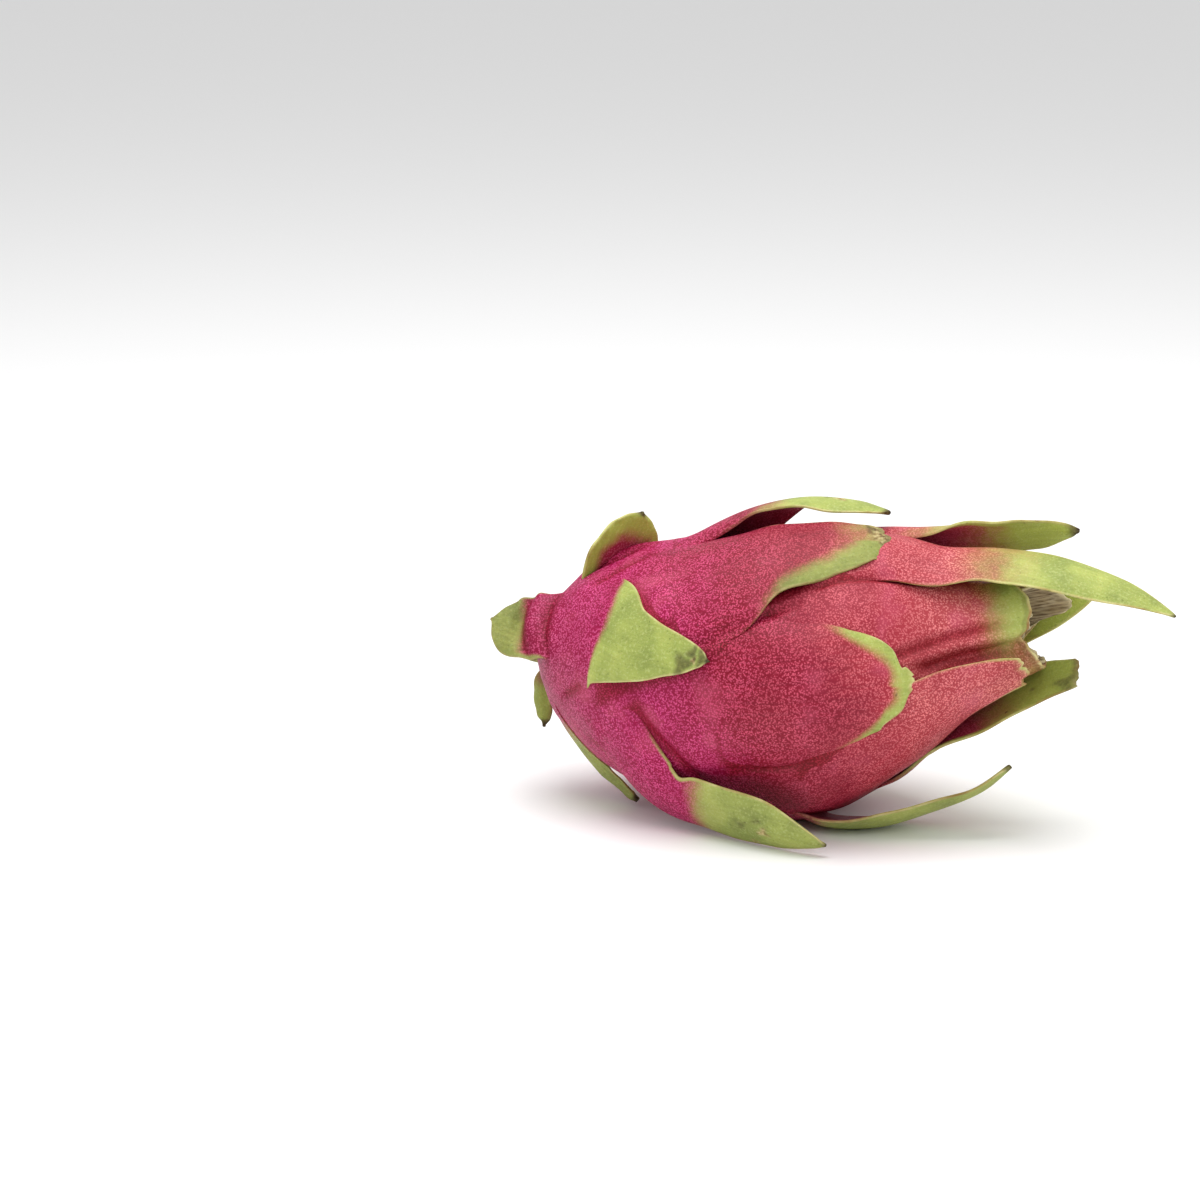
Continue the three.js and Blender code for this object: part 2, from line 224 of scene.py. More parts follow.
def write_mesh(name, bm, places, **masks):
    """Makes a piece of a bmesh, its places in millimetres. Materials read the masks painted on it: a mask has
    one value a vertex, or three."""
    for vert, place in zip(bm.verts, places):
        vert.co = Vector(place) * 0.001
    bmesh.ops.recalc_face_normals(bm, faces=bm.faces)
    mesh = bpy.data.meshes.new(name)
    bm.to_mesh(mesh)
    bm.free()
    mesh.shade_smooth()
    for layer, values in masks.items():
        if values.ndim == 1:
            mesh.attributes.new(layer, "FLOAT", "POINT").data.foreach_set("value", values)
        else:
            rgba = np.concatenate([values, np.ones((len(values), 1))], 1)
            mesh.attributes.new(layer, "FLOAT_COLOR", "POINT").data.foreach_set("color", rgba.ravel())
    piece = bpy.data.objects.new(name, mesh)
    bpy.context.scene.collection.objects.link(piece)
    return piece


def place_array(bm):
    return np.array([vert.co for vert in bm.verts])


def turn_profile(profile, steps, closed=False):
    """Turns a profile, [station, radius], about the fruit's axis. Gives the bmesh, with the station, the
    radius and the angle around of each of its vertices."""
    bm = bmesh.new()
    verts = [bm.verts.new((x, -radius, 0)) for x, radius in profile]
    edges = [bm.edges.new(pair) for pair in zip(verts, verts[1:] + verts[: int(closed)])]
    bmesh.ops.spin(
        bm, geom=verts + edges, cent=(0, 0, 0), axis=(1, 0, 0), dvec=(0, 0, 0), angle=2 * math.pi,
        steps=steps, use_merge=True, use_duplicate=False,
    )
    bmesh.ops.remove_doubles(bm, verts=bm.verts, dist=1e-4)
    x, across, up = place_array(bm).T
    return bm, x, np.hypot(across, up), np.arctan2(up, -across)


def make_fruit():
    profile = []
    for i in range(BODY_RINGS):
        x = mix(STEM_END_X, BELLY_X, 1 - math.cos(0.5 * math.pi * i / BODY_RINGS))
        profile.append((x, float(girth(x)) if i else 0.0))
    for i in range(BODY_RINGS + 1):
        x = mix(BELLY_X, MOUTH_X, i / BODY_RINGS)
        profile.append((x, float(girth(x))))
    bore, floor_x = TUBE_RADIUS - TUBE_WALL, MOUTH_X - TUBE_DEPTH
    profile += [(MOUTH_X + 0.25, TUBE_RADIUS - 0.25), (MOUTH_X + 0.25, bore + 0.25)]
    profile += [(mix(MOUTH_X, floor_x + 5, i / 14), bore) for i in range(15)]
    profile += [(floor_x + 1.5, 0.85 * bore), (floor_x, 0.4 * bore), (floor_x, 0)]
    bm, x, radius, around = turn_profile(profile, BODY_STEPS)
    # The relief is on the outside. Towards the mouth the rim slants, is torn and grows thin.
    outside = radius > girth(x) - 0.3 * TUBE_WALL
    height, crimson_shade = peel_relief(x, around)
    neck = ease(x, MOUTH_X - 20, MOUTH_X)
    radius = radius + np.where(radius > 0.01, height, 0) * np.where(outside, 1, 0.3 * neck)
    radius += ~outside * RIM_FLARE * ease(x, MOUTH_X - 8, MOUTH_X)
    station = x + neck * (rim_shift(around) - RIM_SLANT * radius * np.sin(around))
    places = np.stack([station, -radius * np.cos(around), axis_height(x) + radius * np.sin(around)], 1)
    places[:, 2] = np.maximum(places[:, 2], 0)
    # The neck turns green on its sunny side, and the rim has dried to a pale ribbon with a scorched border.
    lit_side = ease(np.cos(around - math.radians(38)), 0.45, 0.95)
    green = ease(x, MOUTH_X - 16, MOUTH_X - 2) * mix(0.35, 0.85, lit_side)
    ribbon = ease(x, MOUTH_X - 0.45, MOUTH_X - 0.1)
    scorched = np.exp(-(((x - MOUTH_X + 0.9) / 0.3) ** 2))
    # The third mask of the tint is painted shade, deep crimson, in the folds and under the scales.
    tint = np.stack([green, ribbon * outside + 0.7 * ~outside, crimson_shade], 1)
    wear = np.stack([0.75 * scorched * outside, 0 * x, (~outside) * 1.0], 1)
    return write_mesh("fruit_peel", bm, places, tint=tint, wear=wear)


def linear(code):
    """The linear colour of an sRGB hex value."""
    shades = [int(code[i : i + 2], 16) / 255 for i in (1, 3, 5)]
    return [c / 12.92 if c <= 0.04045 else ((c + 0.055) / 1.055) ** 2.4 for c in shades] + [1.0]


def add_node(tree, kind, inputs=None, out=0, ramp=None, **settings):
    """Adds a node with its settings and links, and gives one of its outputs. Inputs are values, sRGB hex
    colours or other nodes' outputs; a ramp is stops with hex colours."""
    node = tree.nodes.new(kind)
    for key, value in settings.items():
        setattr(node, key, value)
    for key, value in (inputs or {}).items():
        if isinstance(value, bpy.types.NodeSocket):
            tree.links.new(value, node.inputs[key])
        else:
            node.inputs[key].default_value = linear(value) if isinstance(value, str) else value
    if ramp:
        stops = node.color_ramp.elements
        while len(stops) < len(ramp):
            stops.new(0.5)
        for stop, (at, colour) in zip(stops, ramp):
            stop.position, stop.color = at, linear(colour)
    return node.outputs[out] if len(node.outputs) else node


def start_material(name):
    """A material without nodes, and add_node for its tree."""
    material = bpy.data.materials.new(name)
    material.use_nodes = True
    material.node_tree.nodes.clear()
    return material, functools.partial(add_node, material.node_tree)


# Kinds of node and settings that the materials use most. A noise of scale 1000 / n has a pattern n mm wide.
noise, curve, maths = "ShaderNodeTexNoise", "ShaderNodeMapRange", "ShaderNodeMath"
mixed, ramped, split = "ShaderNodeMix", "ShaderNodeValToRGB", "ShaderNodeSeparateColor"
mask, bump = "ShaderNodeAttribute", "ShaderNodeBump"
colours, smooth = {"out": 2, "data_type": "RGBA"}, {"interpolation_type": "SMOOTHSTEP"}


def pitaya_peel(name, veins=0.0):
    """Living pitaya peel: a fleshy, waxy skin, satin to the eye, with a fine pale grain all over the pink,
    and smooth where it is green. Dried margins are corky and dull. The "tint" mask holds the green, the corky
    and the painted shade, deep crimson, in folds and under the scales, and the "wear" mask the dead, the
    scabby and the inner ones."""
    material, node = start_material(name)

    place = node("ShaderNodeTexCoord", out="Object")
    tint_mask = node(mask, out="Color", attribute_name="tint")
    wear_mask = node(mask, out="Color", attribute_name="wear")
    green_part, cork_part, crimson_shade_part = (node(split, {"Color": tint_mask}, out=i) for i in range(3))
    dead_part, scab_part, inner_part = (node(split, {"Color": wear_mask}, out=i) for i in range(3))

    # Pink: magenta at the stem end, crimson on the belly and salmon on the neck, in cloudy patches.
    cloud = node(noise, {"Vector": place, "Scale": 1000 / 25, "Detail": 2.0})
    moved = node(maths, {0: cloud, 1: 0.05, 2: -0.025}, operation="MULTIPLY_ADD")
    station = node(maths, {0: node("ShaderNodeSeparateXYZ", {"Vector": place}), 1: moved}, operation="ADD")
    height = node("ShaderNodeSeparateXYZ", {"Vector": place}, out="Z")
    ripening = node(maths, {0: height, 1: 0.35, 2: station}, operation="MULTIPLY_ADD")
    share = node(curve, {"Value": ripening, "From Min": -0.055, "From Max": 0.095})
    furrow_shades = "#8a0e3c", "#960040", "#7e0022", "#86142c", "#9e2a38", "#ac4248", "#9a463a"
    cell_shades = "#d05c84", "#dc4e8c", "#d24c70", "#c45260", "#d86c74", "#ec8c8b", "#d09070"
    furrows, cells = (
        node(ramped, {"Fac": share}, ramp=list(zip((0.0, 0.3, 0.47, 0.62, 0.74, 0.86, 1.0), shades)))
        for shades in (furrow_shades, cell_shades)
    )

    # Pale grain: swollen cells with darker furrows between them, stronger in some places than in others. Real
    # cells are too fine to show, so they are drawn 0.55 mm apart.
    bent = node(noise, {"Vector": place, "Scale": 1000 / 0.6, "Detail": 1.0}, out="Color")
    bent = node("ShaderNodeVectorMath", {0: bent, 1: [0.0006] * 3, 2: place}, operation="MULTIPLY_ADD")
    grain = node("ShaderNodeTexVoronoi", {"Vector": bent, "Scale": 1000 / 0.55}, out="Distance")
    grain = node(curve, {"Value": grain, "From Min": 0.6, "From Max": 0.26}, **smooth)
    strength = node(noise, {"Vector": place, "Scale": 1000 / 9, "Detail": 2.0})
    strength = node(curve, {"Value": strength, "From Min": 0.3, "From Max": 0.7, "To Min": 0.6})
    pale = node(maths, {0: grain, 1: strength}, operation="MULTIPLY")
    pink = node(mixed, {0: pale, 6: furrows, 7: cells}, **colours)
    patches = node(noise, {"Vector": place, "Scale": 1000 / 14, "Detail": 3.0})
    deep = node(curve, {"Value": patches, "From Min": 0.5, "From Max": 0.75, "To Max": 0.5}, **smooth)
    pink = node(mixed, {0: deep, 6: pink, 7: "#d89ab4"}, blend_type="MULTIPLY", **colours)
    faded = node(curve, {"Value": patches, "From Min": 0.46, "From Max": 0.28, "To Max": 0.4}, **smooth)
    pink = node(mixed, {0: faded, 6: pink, 7: "#c0506a"}, **colours)

    # Painted shade: folds and the peel under the scales are darkened to a deep crimson, and they are redder
    # too.
    pink = node(mixed, {0: crimson_shade_part, 6: pink, 7: "#d07c92"}, blend_type="MULTIPLY", **colours)

    # Green: yellow-green with olive patches, a fine pale grain and a few dark pores.
    blotches = node(noise, {"Vector": place, "Scale": 1000 / 11, "Detail": 3.0})
    green = node(ramped, {"Fac": blotches}, ramp=[(0.34, "#adb55f"), (0.5, "#9faa56"), (0.66, "#8b974c")])
    mottle = node(noise, {"Vector": place, "Scale": 1000 / 0.7, "Detail": 2.0})
    light = node(curve, {"Value": mottle, "From Min": 0.5, "From Max": 0.7, "To Max": 0.35}, **smooth)
    green = node(mixed, {0: light, 6: green, 7: "#c3cc86"}, **colours)
    dark = node(curve, {"Value": mottle, "From Min": 0.36, "From Max": 0.24, "To Max": 0.6}, **smooth)
    green = node(mixed, {0: dark, 6: green, 7: "#5d6b30"}, **colours)

    # The border between the two is uneven by a few millimetres and passes through a muted tan.
    uneven = node(noise, {"Vector": place, "Scale": 1000 / 6, "Detail": 4.0, "Roughness": 0.6})
    left = node(maths, {0: 1.0, 1: green_part}, operation="SUBTRACT")
    reach = node(maths, {0: green_part, 1: left}, operation="MULTIPLY")
    uneven = node(maths, {0: uneven, 1: 2.6, 2: -1.3}, operation="MULTIPLY_ADD")
    border = node(maths, {0: uneven, 1: reach, 2: green_part}, operation="MULTIPLY_ADD")
    ripe = node(curve, {"Value": border, "From Min": 0.08, "From Max": 0.92}, **smooth)
    skin = node(mixed, {0: ripe, 6: pink, 7: green}, **colours)

    # The inner face of a scale is a duller pink at its root and olive towards its tip; painted shade darkens
    # its axil to a deep crimson brown.
    lining = node(mixed, {0: pale, 6: "#8c1a36", 7: "#b24c64"}, **colours)
    olive = node(mixed, {0: light, 6: "#9fa94a", 7: "#bcc470"}, **colours)
    inner = node(mixed, {0: ripe, 6: lining, 7: olive}, **colours)
    inner = node(mixed, {0: crimson_shade_part, 6: inner, 7: "#5c2220"}, **colours)
    skin = node(mixed, {0: inner_part, 6: skin, 7: inner}, **colours)

    # Veins run along the scales a millimetre apart; the "vein" mask counts millimetres across the blade.
    if veins:
        across = node(mask, out="Fac", attribute_name="vein")
        along = node(maths, {0: station, 1: 1000 / 16}, operation="MULTIPLY")
        lengthwise = node("ShaderNodeCombineXYZ", {"X": across, "Y": along})
        veined = node(noise, {"Vector": lengthwise, "Scale": 1.0, "Detail": 2.0})
        shade = node(curve, {
            "Value": veined, "From Min": 0.3, "From Max": 0.7, "To Min": 1 - veins, "To Max": 1 + veins,
        })
        shade = node("ShaderNodeCombineColor", {0: shade, 1: shade, 2: shade}, out="Color")
        skin = node(mixed, {0: 1.0, 6: skin, 7: shade}, blend_type="MULTIPLY", **colours)

    # Corky margins, pale or brown, a few black specks half a millimetre wide in crowds, tan scabs and dead
    # brown spots.
    broken = node(noise, {"Vector": place, "Scale": 1000 / 3, "Detail": 3.0})
    broken = node(curve, {"Value": broken, "From Min": 0.3, "From Max": 0.5, "To Min": 0.35}, **smooth)
    cork = node(maths, {0: cork_part, 1: broken}, operation="MULTIPLY")
    age = node(noise, {"Vector": place, "Scale": 1000 / 9, "Detail": 3.0})
    cork_colour = node(ramped, {"Fac": age}, ramp=[(0.42, "#d6cc92"), (0.55, "#bfa870"), (0.68, "#8f5f3c")])
    skin = node(mixed, {0: cork, 6: skin, 7: cork_colour}, **colours)
    dots = node(noise, {"Vector": place, "Scale": 1000 / 2.4, "Detail": 1.0})
    dots = node(curve, {"Value": dots, "From Min": 0.76, "From Max": 0.8}, **smooth)
    crowds = node(noise, {"Vector": place, "Scale": 1000 / 16})
    crowds = node(curve, {"Value": crowds, "From Min": 0.5, "From Max": 0.6, "To Max": 0.75}, **smooth)
    specks = node(maths, {0: dots, 1: crowds}, operation="MULTIPLY")
    skin = node(mixed, {0: specks, 6: skin, 7: "#46241c"}, **colours)
    crumbs = node(noise, {"Vector": place, "Scale": 1000 / 1.1, "Detail": 3.0})
    scab = node(ramped, {"Fac": crumbs}, ramp=[(0.35, "#7d6440"), (0.5, "#b29a68"), (0.65, "#d8c693")])
    skin = node(mixed, {0: scab_part, 6: skin, 7: scab}, **colours)
    dead = node(ramped, {"Fac": crumbs}, ramp=[(0.35, "#32271b"), (0.5, "#4d4428"), (0.7, "#6e6a3c")])
    skin = node(mixed, {0: dead_part, 6: skin, 7: dead}, **colours)

    # The wax wears unevenly, cork is dull, and the grain stands out by a tenth of a millimetre.
    dull = node(maths, {0: scab_part, 1: dead_part}, operation="MAXIMUM")
    dull = node(maths, {0: cork, 1: dull}, operation="MAXIMUM")
    worn = node(curve, {"Value": broken, "From Min": 0.35, "To Min": 0.42, "To Max": 0.52})
    gloss = node(maths, {0: dull, 1: 0.3, 2: worn}, operation="MULTIPLY_ADD")
    normal = node(bump, {"Height": grain, "Strength": 0.4, "Distance": 0.00012})
    normal = node(bump, {"Height": uneven, "Strength": 0.3, "Distance": 0.0003, "Normal": normal})
    rough = node(maths, {0: dull, 1: crumbs}, operation="MULTIPLY")
    normal = node(bump, {"Height": rough, "Strength": 0.7, "Distance": 0.0005, "Normal": normal})
    shader = node(
        "ShaderNodeBsdfPrincipled",
        {"Base Color": skin, "Roughness": gloss, "Normal": normal, "IOR": 1.4, "Specular IOR Level": 0.33,
         "Subsurface Weight": 0.04, "Subsurface Radius": (1.0, 0.35, 0.25), "Subsurface Scale": 0.0012},
    )
    node("ShaderNodeOutputMaterial", {"Surface": shader})
    return material


fruit = make_fruit()
fruit.data.materials.append(pitaya_peel("Waxy pitaya peel"))
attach(fruit, "root")
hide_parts("fruit_body")

# ================================================================ the scales
# Each scale is a fleshy leaf of its own. Its outer face runs smoothly out of the peel, pink at the root and
# green towards the tip; its margins are thin and corky, and the tips have dried or torn off in handling.
SCALE_ALONG = 60
SCALE_ACROSS = 36
COLUMN_CROWDING = 1.6  # power that brings the columns of the mesh closer together at the margins
ROOT_THICKNESS = 3.0
TIP_THICKNESS = 1.4
MARGIN_THICKNESS = 0.32  # share of the thickness that is left at the margins
ROOT_SINK = 0.35  # how deep the root lies under the surface of the peel
CREASE_REACH = 1.5  # half width of a crease across a scale
VEIN_SHIFT = 7  # mm between the veins of one scale and the next, so that no two scales are alike

scale_leaf = pitaya_peel("Leafy pitaya scale", veins=0.09)


def along_curve(points, share):
    """A smooth curve through points, with the same pull at every point however far apart they are."""
    p = np.vstack([2 * points[0] - points[1], points, 2 * points[-1] - points[-2]])
    gap = np.sum(np.diff(p[:, :3], axis=0) ** 2, axis=1) ** 0.25
    at = share * (len(points) - 1)
    i = np.clip(at.astype(int), 0, len(points) - 2)
    t = (at - i)[:, None]
    a, b, c, d = p[i], p[i + 1], p[i + 2], p[i + 3]
    g0, g1, g2 = (gap[i + k][:, None] for k in range(3))
    lead = ((b - a) / g0 - (c - a) / (g0 + g1) + (c - b) / g1) * g1
    trail = ((c - b) / g1 - (d - b) / (g1 + g2) + (d - c) / g2) * g1
    return b + lead * t + (3 * (c - b) - 2 * lead - trail) * t**2 + (2 * (b - c) + lead + trail) * t**3


def peel_out(around):
    return np.stack([0 * around, -np.cos(around), np.sin(around)], -1)


def middle_of_blade(path, rows):
    """The middle line of a scale at its rows, with its width as a fourth column, and three directions along
    it: forward, across the blade, and outward from its outer face."""
    knots = np.array(path, float)
    middle = np.concatenate([peel_point(knots[:, 0], np.radians(knots[:, 1]), knots[:, 2]), knots[:, 3:]], 1)
    line = along_curve(middle, rows)
    forward = unit(np.gradient(line[:, :3], axis=0))
    # The direction of the outer face is carried along the line without a twist, in twelve steps.
    face = peel_normal(knots[1, 0], math.radians(knots[1, 1]))
    faces = []
    for direction in forward[::SCALE_ALONG // 12]:
        face = unit(face - (face @ direction) * direction)
        faces.append(face)
    faces = along_curve(np.array(faces), rows)
    faces = unit(faces - np.sum(faces * forward, 1, keepdims=True) * forward)
    return line, forward, np.cross(faces, forward), faces


def settle_on_peel(places, pair, s, w, free):
    """Draws the root of a scale down on to the peel, just under its surface; the blade leaves the peel little
    by little. Both faces move by the height of the outer one, whose vertices pair gives."""
    x, around, above = (values[pair] for values in peel_place(places))
    relief, _ = peel_relief(x, around)
    at_edge = np.abs(w) ** 2.5
    middle_rise = 0.4 * ease(s, 0, 0.14) + 0.5 * ease(s, 0.1, 0.4)
    floor = relief - ROOT_SINK + mix(middle_rise, 0.9 * ease(s, free - 0.1, free + 0.1), at_edge)
    let_go = mix(ease(s, 0.03, 0.3), ease(s, free - 0.1, free + 0.2), at_edge)
    wanted = floor + np.clip(above - floor, 0, None) * let_go
    on_fruit = ease(x, -69, -66) * (1 - ease(x, 66, 76)) * (1 - ease(above, 12, 18))
    places += peel_out(around) * ((wanted - above) * on_fruit)[:, None]
    places[:, 2] = np.maximum(places[:, 2], 0.05)


def grow_scale(
    name, path, cup, roll=(0, 0), free=(0.12, 0.12), ripple=0.3, torn=0.0, folds=(), bites=(),
    green=0.45, soft=0.16, bow=0.0, band=(0, 0), band_from=0.15, inner=0.3, axil=0.5, aged=0.0, dry=3.0,
    scars=(), seed=0,
):
    """Makes a scale. Places along it run from 0 at its root to 1 at its tip, and across it from -1 to 1.
    Where each margin has a value, the first is for the one at the smaller angles around.
    path: middle line of its outer face, [station, angle around, height above the fruit, width]
    cup: radius across the blade at its tip
    roll: degrees turned about its length, at its root and at its tip
    free: where along it its two margins leave the peel
    ripple: mm that its margins wave
    torn: how ragged its tip is
    folds: creases across it, (along, depth)
    bites: notches in its margins, (along, side, depth, half length)
    green, inner: where along it its outer and its inner face turn green
    soft: half of the share of its length over which the outer face turns green
    bow: how much later it turns green in its middle
    band, band_from: mm of green along its two margins at the tip, and where along it that starts
    axil: how dark the painted shade at the foot of its inner face is
    aged: how dull its green has become
    dry: mm of its dead tip
    scars: (along, across, radius, "dead" or "scab")
    seed: for the waves of its margins"""
    bm = bmesh.new()
    bmesh.ops.create_grid(bm, x_segments=SCALE_ACROSS, y_segments=SCALE_ALONG, size=1)
    lower = bmesh.ops.extrude_face_region(bm, geom=list(bm.faces))["geom"]
    lower = [part for part in lower if isinstance(part, bmesh.types.BMVert)]
    bmesh.ops.translate(bm, vec=(0, 0, -1), verts=lower)
    flat = place_array(bm)
    w = np.sign(flat[:, 0]) * (1 - (1 - np.abs(flat[:, 0])) ** COLUMN_CROWDING)
    row = np.rint((flat[:, 1] + 1) / 2 * SCALE_ALONG).astype(int)
    through = flat[:, 2]
    outer = through > -0.5
    side = np.sign(w)

    rows = np.linspace(0, 1, SCALE_ALONG + 1)
    s = rows[row]
    line, forward, across, faces = middle_of_blade(path, rows)
    length = np.concatenate([[0], np.cumsum(np.linalg.norm(np.diff(line[:, :3], axis=0), axis=1))])
    to_tip = length[-1] - length[row]

    # Its outline, with notches, waves and creases.
    waves = np.random.default_rng(seed).uniform(0, 2 * math.pi, 6)
    half = 0.5 * line[row, 3]
    if not torn:
        half = half * (1 - 0.85 * (1 - ease(to_tip, 0, 3)) ** 2)
    half = half * (1 + 0.02 * np.sin(9 * s + waves[0] + 2 * side) + 0.012 * np.sin(31 * s + waves[1] + side))
    for at, bitten, depth, reach in bites:
        half = half - (side == bitten) * depth * np.exp(-(((s - at) * length[-1] / reach) ** 2))
    waved = np.sin(14 * s + waves[2] + 1.7 * side) + 0.5 * np.sin(29 * s + waves[3])
    edge = ripple * ease(s, 0.15, 0.6) * np.abs(w) ** 3 * waved
    creased = 0 * s
    for at, depth in folds:
        away = (s - at + 0.1 * w * w) * length[-1]
        crease = np.exp(-((away / CREASE_REACH) ** 2)) * (1 - 0.5 * w * w)
        edge -= depth * (1.3 * crease - 0.5 * np.exp(-((away / 4) ** 2)))
        creased = np.maximum(creased, crease)

    # The blade is bent across its length, most of all at its tip, and rolled about it.
    root_radius = float(girth(path[2][0])) + path[2][2]
    bend = mix(max(cup, root_radius), cup, s)
    level = bend + through * mix(ROOT_THICKNESS, TIP_THICKNESS, s) * mix(1, MARGIN_THICKNESS, w * w)
    turn = w * half / bend
    sideways, outward = level * np.sin(turn), level * np.cos(turn) - bend + edge
    tilt = np.radians(-mix(roll[0], roll[1], s))
    sideways, outward = (
        sideways * np.cos(tilt) - outward * np.sin(tilt),
        sideways * np.sin(tilt) + outward * np.cos(tilt),
    )
    places = line[row, :3] + across[row] * sideways[:, None] + faces[row] * outward[:, None]
    rag = 1.6 * np.sin(2.3 * w + waves[4]) + 0.9 * np.sin(7.5 * w + waves[5])
    rag = rag + 0.5 * np.sin(17 * w + waves[0])
    places += forward[row] * (torn * rag * (1 - ease(to_tip, 0, 6)))[:, None]
    order = row * 1000 + np.rint(flat[:, 0] * SCALE_ACROSS).astype(int)
    on_top = dict(zip(order[outer], np.flatnonzero(outer)))
    leaves = np.where(w < 0, free[0], free[1])
    settle_on_peel(places, np.array([on_top[spot] for spot in order]), s, w, leaves)

    # The masks: where it is green, corky, darkened by painted shade, dead or scabby.
    margin = (1 - np.abs(w)) * half
    if torn:
        margin = np.minimum(margin, to_tip + 0.3 * np.abs(rag))
    border = 1e-6 + np.where(w < 0, band[0], band[1]) * mix(0.3, 1, ease(s, band_from, 1))
    banded = (border > 0.01) * (1 - ease(margin, 0.1 * border, 1.6 * border))
    banded = banded * ease(s, band_from, band_from + 0.25)
    turned = ease(s - bow * (1 - w * w), green - soft, green + soft)
    turned = np.maximum(np.where(outer, turned, ease(s, inner - 0.2, inner + 0.25)), banded)
    cork = 1 - ease(margin, 0.15, 0.7)
    cork *= ease(s, leaves, leaves + 0.2) * np.where(outer, mix(0.25, 0.75, turned), 0.4)
    dead = 1 - ease(to_tip, 0.25 * dry, dry) if dry else 0 * s
    if torn:
        cork = np.maximum(cork, 0.9 * (1 - ease(to_tip, 0.3, 1.6)))
        dead = 0.55 * dead
    dead = np.maximum(dead, aged * turned)
    scab = 0 * s
    for at, aside, radius, kind in scars:
        ahead, beside = (s - at) * length[-1], (w - aside) * half
        away = np.hypot(ahead, beside) * (1 + 0.35 * np.sin(3 * np.arctan2(beside, ahead) + 40 * at))
        spot = 1 - ease(away, 0.5 * radius, 1.3 * radius)
        if kind == "dead":
            dead = np.maximum(dead, 0.7 * spot)
        else:
            scab = np.maximum(scab, spot)
    # Painted shade: creases across the outer face and the axil at the foot of the inner face are darkened.
    crimson_shade = np.where(outer, creased, axil * (1 - ease(s, 0.1, 0.55)) * (1 - 0.5 * w * w))
    tint, wear = np.stack([turned, cork, crimson_shade], 1), np.stack([dead, scab, ~outer * 1.0], 1)
    piece = write_mesh(name, bm, places, tint=tint, wear=wear, vein=w * half + VEIN_SHIFT * seed)
    piece.data.materials.append(scale_leaf)
    rounded = piece.modifiers.new("rounded margins", "SUBSURF")
    rounded.levels = rounded.render_levels = 1
    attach(piece, "root")
    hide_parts(name.replace("leaf", "scale"))


# ---------------------------------------------------------------- round the stem
# Three small, thick scales close round the stem. They stand up steeply and show their inner faces.
grow_scale(
    "stem_leaf_front", cup=30, ripple=0.5, folds=[(0.22, 0.9), (0.52, 1.9)], green=0.52, soft=0.09,
    band=(1, 3), aged=0.42, dry=0, seed=1,
    path=[
        (-56, 41, -2.5, 20), (-60.5, 40, 1.5, 21), (-66, 35, 10, 20), (-71.5, 30, 14.8, 17),
        (-75, 31, 15.4, 10.5), (-77.6, 32, 15.8, 2.5),
    ],
)
grow_scale(
    "stem_leaf_low", cup=5, green=0.2, aged=0.35, dry=4, seed=2,
    path=[
        (-62, -112, -2.5, 8), (-65.3, -110, 2.5, 8), (-66.6, -101, 11, 7), (-66, -95, 14, 5),
        (-65.8, -92, 16.8, 1.2),
    ],
)
grow_scale(
    "stem_leaf_back", cup=25, green=0.6, seed=3,
    path=[
        (-56, 190, -2.5, 18), (-60.5, 191, 1.5, 20), (-65.5, 192, 8, 19), (-70, 193, 15, 14),
        (-73, 194, 18, 5),
    ],
)

# ---------------------------------------------------------------- on the shoulder
# Short broad scales ring the stem end. Those in front and below lie against the fruit; the top one stands
# up.
grow_scale(
    "shoulder_leaf_top", cup=20, green=0.6, band=(9, 4), band_from=-0.1, inner=0.6, axil=0.15, dry=1.5,
    seed=4,
    path=[
        (-45.5, 104, -2.5, 25), (-45.2, 98.5, 0.6, 26), (-43.4, 97, 5, 22), (-40.8, 96.3, 9, 15),
        (-38.3, 95.5, 12, 5),
    ],
)
grow_scale(
    "shoulder_leaf_front", cup=32, green=0.16, soft=0.045, bow=0.07, dry=2.5, seed=5,
    scars=[
        (0.9, 0.1, 2.4, "dead"), (0.8, 0.3, 1.8, "dead"), (0.82, -0.2, 0.9, "scab"),
        (0.74, -0.5, 2.6, "dead"),
    ],
    path=[
        (-49, 34, -2.5, 35), (-42.5, 31, 1, 32), (-33, 24.5, 2.2, 22), (-22, 22, 3.2, 14),
        (-13, 20.5, 3.8, 7.5), (-8, 19.5, 4, 1.5),
    ],
)
grow_scale(
    "shoulder_leaf_low", cup=9, roll=(8, 32), green=0.3, aged=0.25, seed=6,
    path=[
        (-63, -58, -2.5, 13), (-60, -63, 0.8, 14), (-53, -69, 2.4, 14), (-46, -72, 4, 11), (-40, -74, 5, 7),
        (-35.8, -74, 5.8, 2),
    ],
)
grow_scale(
    "shoulder_leaf_back_high", cup=22, seed=7,
    path=[
        (-53, 140, -2.5, 26), (-46, 139, 0.8, 27), (-36, 138, 4.5, 22), (-24, 140, 8, 14),
        (-13, 143, 10, 2),
    ],
)
grow_scale(
    "shoulder_leaf_back", cup=16, seed=8,
    path=[
        (-52, 186, -2.5, 20), (-45, 188, 0.8, 22), (-37, 190, 5, 19), (-29, 192, 10, 13), (-22, 194, 16, 2),
    ],
)
grow_scale(
    "shoulder_leaf_back_low", cup=20, seed=9,
    path=[
        (-52, 238, -2.5, 22), (-45, 237, 0.8, 24), (-35, 235, 2.5, 20), (-24, 233, 4, 13),
        (-12, 232, 5.5, 2),
    ],
)

